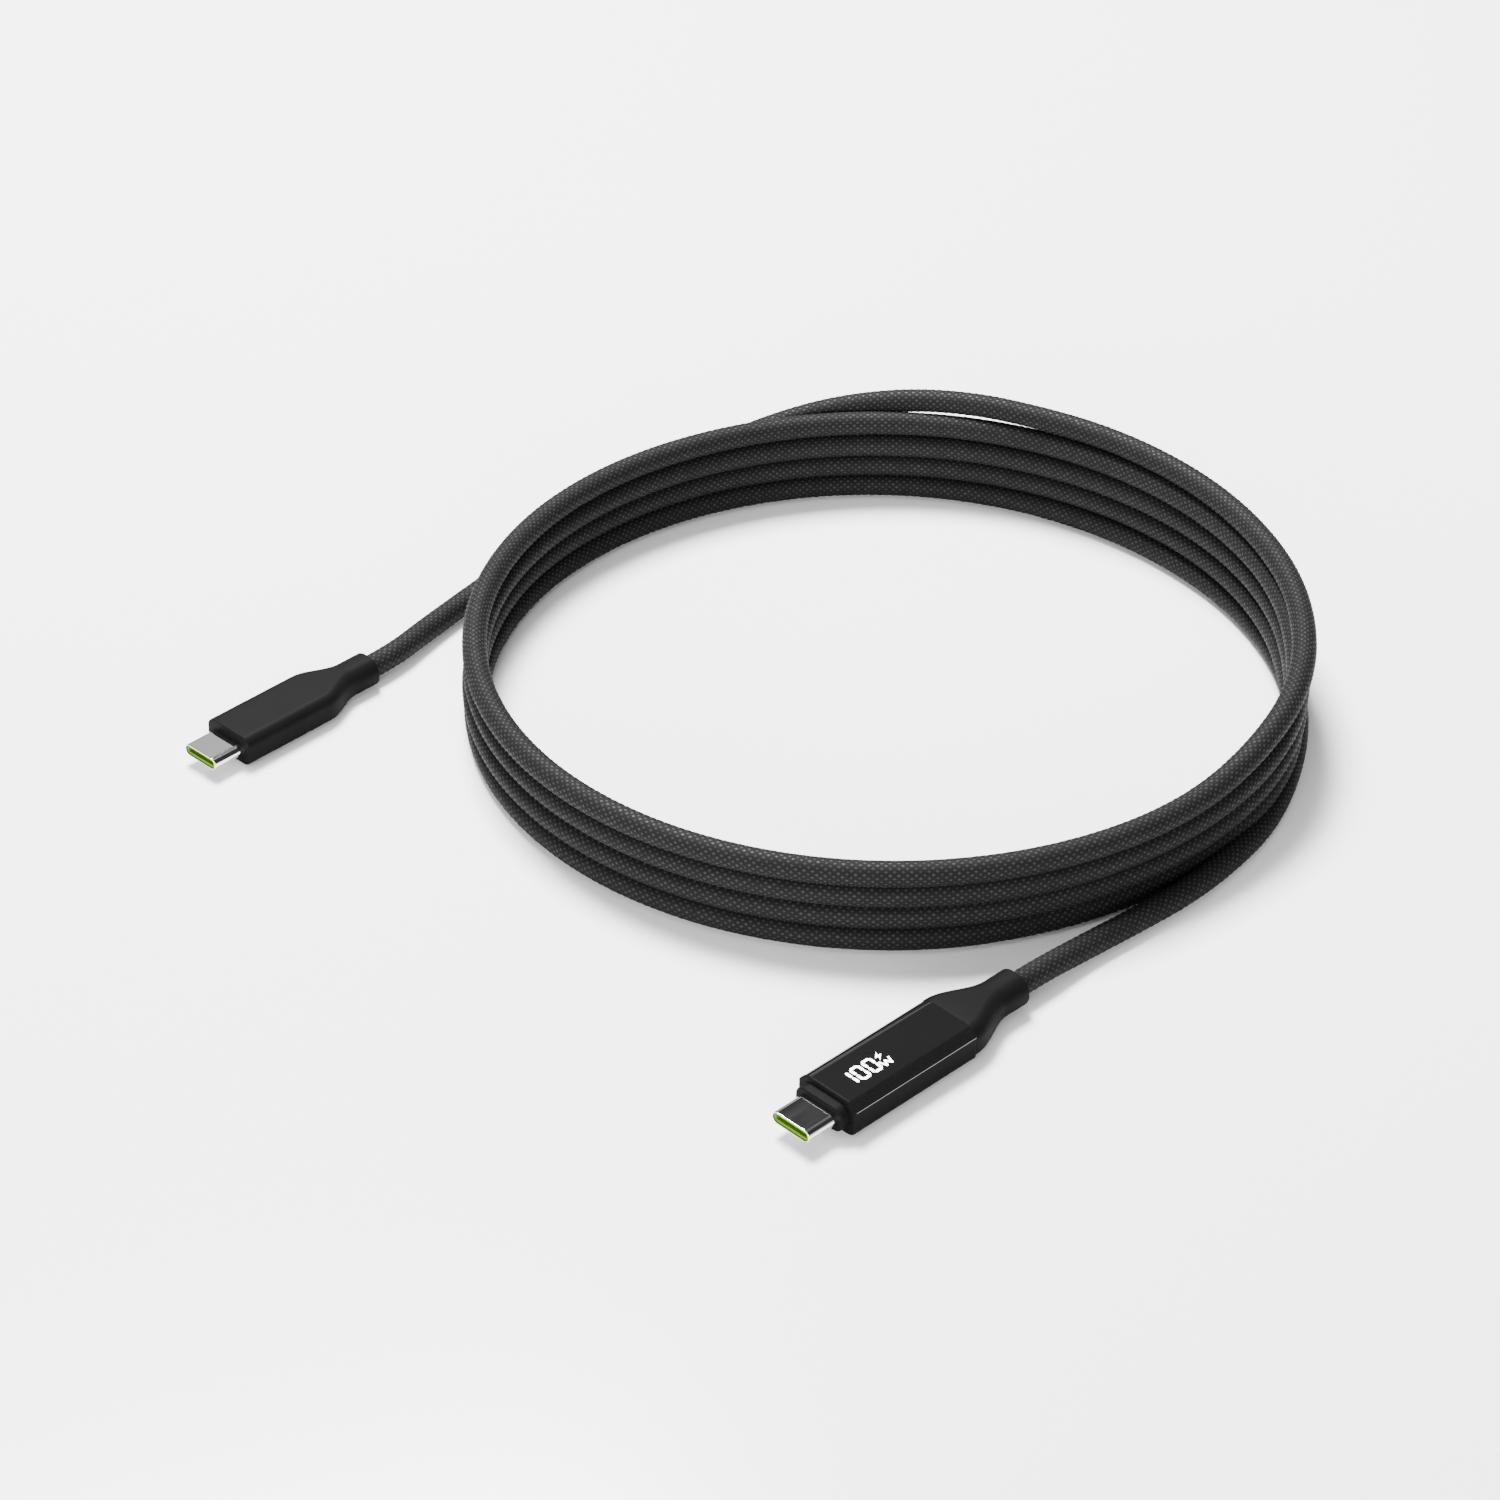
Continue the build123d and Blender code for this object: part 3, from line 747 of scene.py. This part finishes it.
def tray_outline():
    """The case below the window."""
    return rounded_polygon(
        [
            (SIDE, SPLIT, 0.12),
            (SIDE, -TOP, LOWER_CORNER),
            (-SIDE, -TOP, LOWER_CORNER),
            (-SIDE, SPLIT, 0.12),
        ]
    )


def nose_outline():
    """The nose of the case, which frames the window's front edge."""
    return rounded_polygon(
        [
            (SIDE, -TOP, LOWER_CORNER),
            (-SIDE, -TOP, LOWER_CORNER),
            (-SIDE, LEFT_BEVEL, 0.3),
            (-FLAT, TOP, LEFT_TOP_CORNER),
            (FLAT, TOP, 0.2),
            (SIDE, RIGHT_BEVEL, 0.4),
        ]
    )


def make_case():
    """The meter plug's case: a tray below the window, and the nose in front of it."""
    tray = [(WINDOW_FRONT, tray_outline()), (METER_SEAM, tray_outline())]
    nose = rounded_edge(METER_FRONT, nose_outline(), NOSE_EDGE, 1)
    nose.append((WINDOW_FRONT, nose_outline()))
    solids = joined(loft(METER_SPACE, tray), loft(METER_SPACE, nose))
    case = add_piece("meter_plug_case", *solids, "soft_grey")
    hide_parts("meter_housing")


def make_window():
    """The glossy window over the display."""
    outline = window_outline()
    stations = [(WINDOW_FRONT, outline)]
    stations += rounded_edge(METER_SEAM, outline, WINDOW_EDGE, -1, steps=3)
    window = add_piece("meter_plug_window", *loft(METER_SPACE, stations), "gloss_black")
    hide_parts("meter_window")


def make_meter_boot():
    """The meter plug's rear boot with its strain relief."""
    wide = rounded_section(*METER_WIDE)
    stations = rounded_edge(METER_SEAM, wide, SEAM_EDGE, 1, steps=3)
    stations.append((METER_SHOULDER, wide))
    stations += shoulder(METER_WIDE, METER_SLIM, METER_SHOULDER, METER_BOOT)
    stations += boot_stations(METER_SLIM, METER_BOOT, METER_END)
    boot = add_piece("meter_plug_boot", *loft(METER_SPACE, stations), "soft_grey")
    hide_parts("meter_boot")


# ---------------------------------------------------------------- lit signs on the window
SIGN_PROUD = 0.02
SIGN_DEPTH = 0.1
STROKE = 0.5
DIGIT_WIDTH = 2.15
DIGIT_HEIGHT = 3.6
DIGIT_ADVANCE = 2.6
DIGITS_START = 11.85
DIGITS_MIDDLE = 0.9
# The lit segments of each digit: a to f clockwise from the top one, and g across the middle.
READING = ("bc", "abcdef", "abcdef")
# The bolt and the letter stand this far after the last digit's middle.
SIGN_GAP = 2.35
BOLT = ((0.45, 1.9), (-0.75, 0.85), (-0.05, 0.85), (-0.45, 0.0), (0.8, 1.1), (0.1, 1.1))
LETTER_W = ((-1.0, -0.35), (-0.55, -1.6), (0.0, -0.6), (0.55, -1.6), (1.0, -0.35))
LETTER_STROKE = 0.34


def sign_solid(outline):
    """A thin lit plate. The outline's u runs along the plug and v up the sign, towards -X."""
    low = TOP - SIGN_DEPTH
    high = TOP + SIGN_PROUD
    count = len(outline)
    vertices = [METER_SPACE @ Vector((-v, u, z)) for z in (low, high) for u, v in outline]
    faces = [tuple(range(count))[::-1], tuple(range(count, 2 * count))]
    for index in range(count):
        after = (index + 1) % count
        faces.append((index, after, count + after, count + index))
    return vertices, faces


def bar(u, v, half_length, upright):
    """One stroke of a segment digit, pointed at both ends."""
    half = STROKE / 2
    body = half_length - half
    shape = [(-half_length, 0), (-body, -half), (body, -half)]
    shape += [(half_length, 0), (body, half), (-body, half)]
    if upright:
        shape = [(-y, x) for x, y in shape]
    return [(u + x, v + y) for x, y in shape]


def digit_outlines(letters, u):
    """The lit segments of one digit whose middle is at u."""
    half_w = DIGIT_WIDTH / 2 - STROKE / 2
    half_h = DIGIT_HEIGHT / 2 - STROKE / 2
    v = -DIGITS_MIDDLE
    places = {
        "a": (u, v + half_h, half_w, False),
        "g": (u, v, half_w, False),
        "d": (u, v - half_h, half_w, False),
        "f": (u - half_w, v + half_h / 2, half_h / 2, True),
        "b": (u + half_w, v + half_h / 2, half_h / 2, True),
        "e": (u - half_w, v - half_h / 2, half_h / 2, True),
        "c": (u + half_w, v - half_h / 2, half_h / 2, True),
    }
    return [bar(*places[letter]) for letter in letters]


def thick_line(points, width):
    """A run of strokes of one width, as one outline for each stroke."""
    outlines = []
    for start, end in zip(points, points[1:]):
        along = (Vector(end) - Vector(start)).normalized() * width / 2
        side = Vector((-along.y, along.x))
        first = Vector(start) - along
        last = Vector(end) + along
        corners = (first + side, first - side, last - side, last + side)
        outlines.append([tuple(corner) for corner in corners])
    return outlines


def make_signs():
    """The reading, and a bolt above a W for watts."""
    outlines = []
    for place, letters in enumerate(READING):
        outlines += digit_outlines(letters, DIGITS_START + place * DIGIT_ADVANCE)
    u = DIGITS_START + (len(READING) - 1) * DIGIT_ADVANCE + SIGN_GAP
    v = -DIGITS_MIDDLE
    outlines.append([(u + x, v + y) for x, y in BOLT])
    outlines += thick_line([(u + x, v + y) for x, y in LETTER_W], LETTER_STROKE)
    solids = joined(*[sign_solid(outline) for outline in outlines])
    signs = add_piece("lit_reading", *solids, "lit_white")
    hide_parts("meter_display_digits")


# ---------------------------------------------------------------- CAD nodes that stay as they are
def dress_cad_nodes():
    """Every carried-over node gets the material of its own slot."""
    slots = {entry["node"]: entry["material_slot"] for entry in frame["record"]["subparts"]}
    for name, node in frame["nodes"].items():
        node.data.materials.clear()
        node.data.materials.append(MATERIALS[slots[name]])


# ---------------------------------------------------------------- studio
FLOOR_HALF = 3.0
FLOOR_DROP = 0.00002
# The world is bright straight up, and dim everywhere below this height on a unit sphere.
WORLD_BRIGHT = 0.5
WORLD_DIM = 0.05
WORLD_DIM_BELOW = 0.72
# Each light's name, position, target, size and power in watts.
LIGHTS = (
    ("overhead", (0.05, 0.0, 1.05), (0.0, 0.06, 0.0), (0.9, 0.9), 5.0),
    ("key", (-0.52, 0.28, 1.05), (0.0, 0.06, 0.0), (0.42, 0.42), 84.0),
    ("back_card", (-0.56, 0.42, 0.36), (0.0, 0.0, 0.0), (0.36, 0.24), 0.2),
    ("right_strip", (0.55, 0.45, 0.1), (0.07, 0.0, 0.0), (0.5, 0.06), 0.09),
    ("front_fill", (0.78, -0.86, 0.26), (0.0, 0.0, 0.0), (1.2, 0.5), 32.0),
    ("front_card", (-0.25, -1.05, 0.24), (0.0, 0.0, 0.0), (0.8, 0.4), 11.0),
)


def make_floor():
    """A sheet a hair below the surface that the object lies on, so that the two don't flicker."""
    mesh = bpy.data.meshes.new("studio_floor")
    corners = [(x * FLOOR_HALF, y * FLOOR_HALF, 0) for x, y in ((-1, -1), (1, -1), (1, 1), (-1, 1))]
    mesh.from_pydata(corners, [], [(0, 1, 2, 3)])
    mesh.materials.append(floor_material())
    floor = bpy.data.objects.new("studio_floor", mesh)
    floor.location.z = -FLOOR_DROP
    bpy.context.collection.objects.link(floor)


def area_light(name, position, target, size, power):
    """A soft rectangular light at a position, facing its target."""
    data = bpy.data.lights.new(name, "AREA")
    data.shape = "RECTANGLE"
    data.size = size[0]
    data.size_y = size[1]
    data.energy = power
    lamp = bpy.data.objects.new(name, data)
    lamp.location = position
    lamp.rotation_euler = (Vector(target) - Vector(position)).to_track_quat("-Z", "Y").to_euler()
    bpy.context.collection.objects.link(lamp)


def make_world():
    """Dim all round and bright overhead, like a room below a large ceiling light."""
    world = bpy.data.worlds.new("studio")
    world.use_nodes = True
    nodes = world.node_tree.nodes
    links = world.node_tree.links
    place = nodes.new("ShaderNodeTexCoord")
    split = nodes.new("ShaderNodeSeparateXYZ")
    spread = nodes.new("ShaderNodeMapRange")
    spread.interpolation_type = "SMOOTHSTEP"
    spread.inputs["From Min"].default_value = WORLD_DIM_BELOW
    spread.inputs["From Max"].default_value = 1.0
    spread.inputs["To Min"].default_value = WORLD_DIM
    spread.inputs["To Max"].default_value = WORLD_BRIGHT
    links.new(place.outputs["Generated"], split.inputs["Vector"])
    links.new(split.outputs["Z"], spread.inputs["Value"])
    links.new(spread.outputs["Result"], nodes["Background"].inputs["Strength"])
    nodes["Background"].inputs["Color"].default_value = (1.0, 1.0, 1.0, 1.0)
    bpy.context.scene.world = world


def make_studio():
    make_floor()
    make_world()
    for light in LIGHTS:
        area_light(*light)


def main():
    cord, path, length = make_cord()
    dress_cad_nodes()
    make_shell("plain_plug_shell", PLAIN_SPACE, "plain_shell")
    make_shell("meter_plug_shell", METER_SPACE, "meter_shell")
    make_plain_body()
    make_collar()
    make_case()
    make_window()
    make_meter_boot()
    make_signs()
    make_studio()


main()
